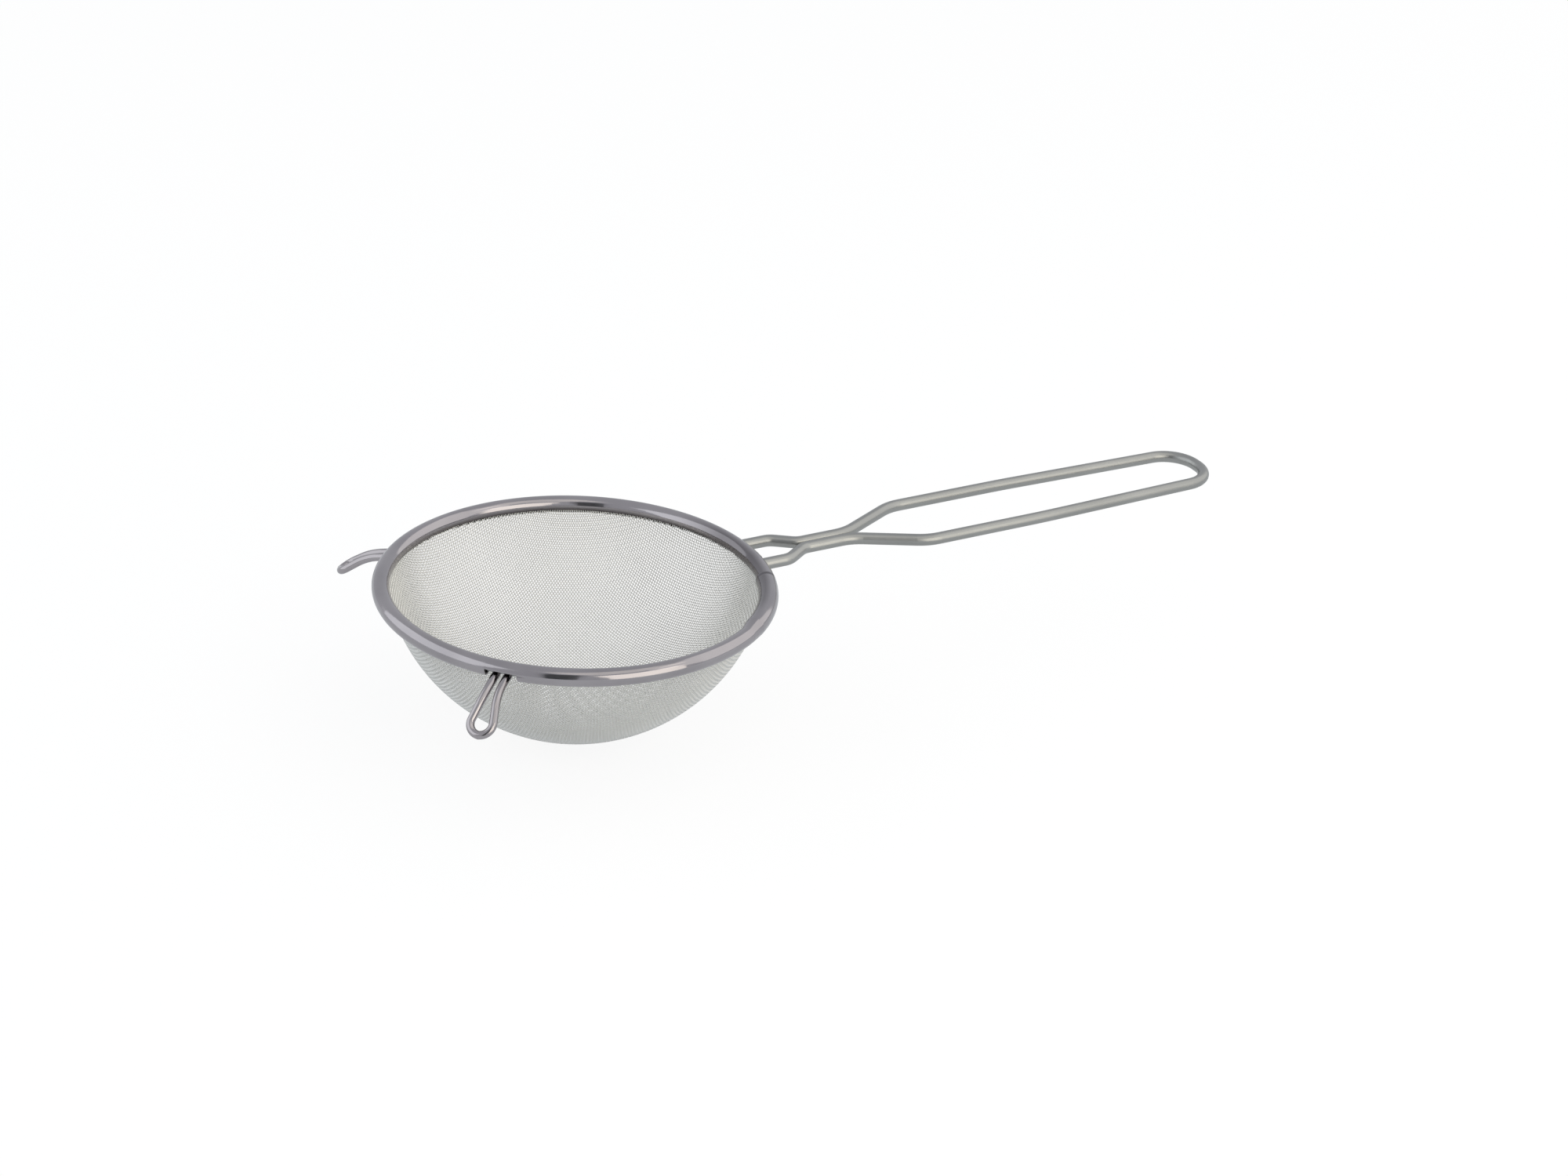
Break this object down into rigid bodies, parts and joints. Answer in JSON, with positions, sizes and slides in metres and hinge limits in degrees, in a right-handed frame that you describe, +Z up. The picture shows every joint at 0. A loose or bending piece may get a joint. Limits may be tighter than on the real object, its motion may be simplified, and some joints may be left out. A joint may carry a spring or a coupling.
{
  "type": "wire strainer",
  "caption": "Hand strainer: wire-cloth bowl in a rolled rim, with a bent-wire loop handle and rest hooks opposite it.",
  "frame": {"origin": "centre of the rim, at the middle of its rolled edge", "axes": "+X from the rim's centre along the handle, +Z up out of the bowl's mouth, the bowl below"},
  "size_m": [0.3304, 0.14, 0.0599],
  "materials": {
    "cloth": "drawn tinned wire",
    "rim": "polished",
    "hoop": "drawn wire",
    "handle": "satin tinned wire",
    "hooks": "polished"
  },
  "bodies": {
    "root": {"mesh_bowl": "cloth", "rim_band": "rim", "hoop_wire": "hoop", "handle_wire": "handle", "rest_hook_left": "hooks", "rest_hook_right": "hooks"}
  },
  "joints": []
}
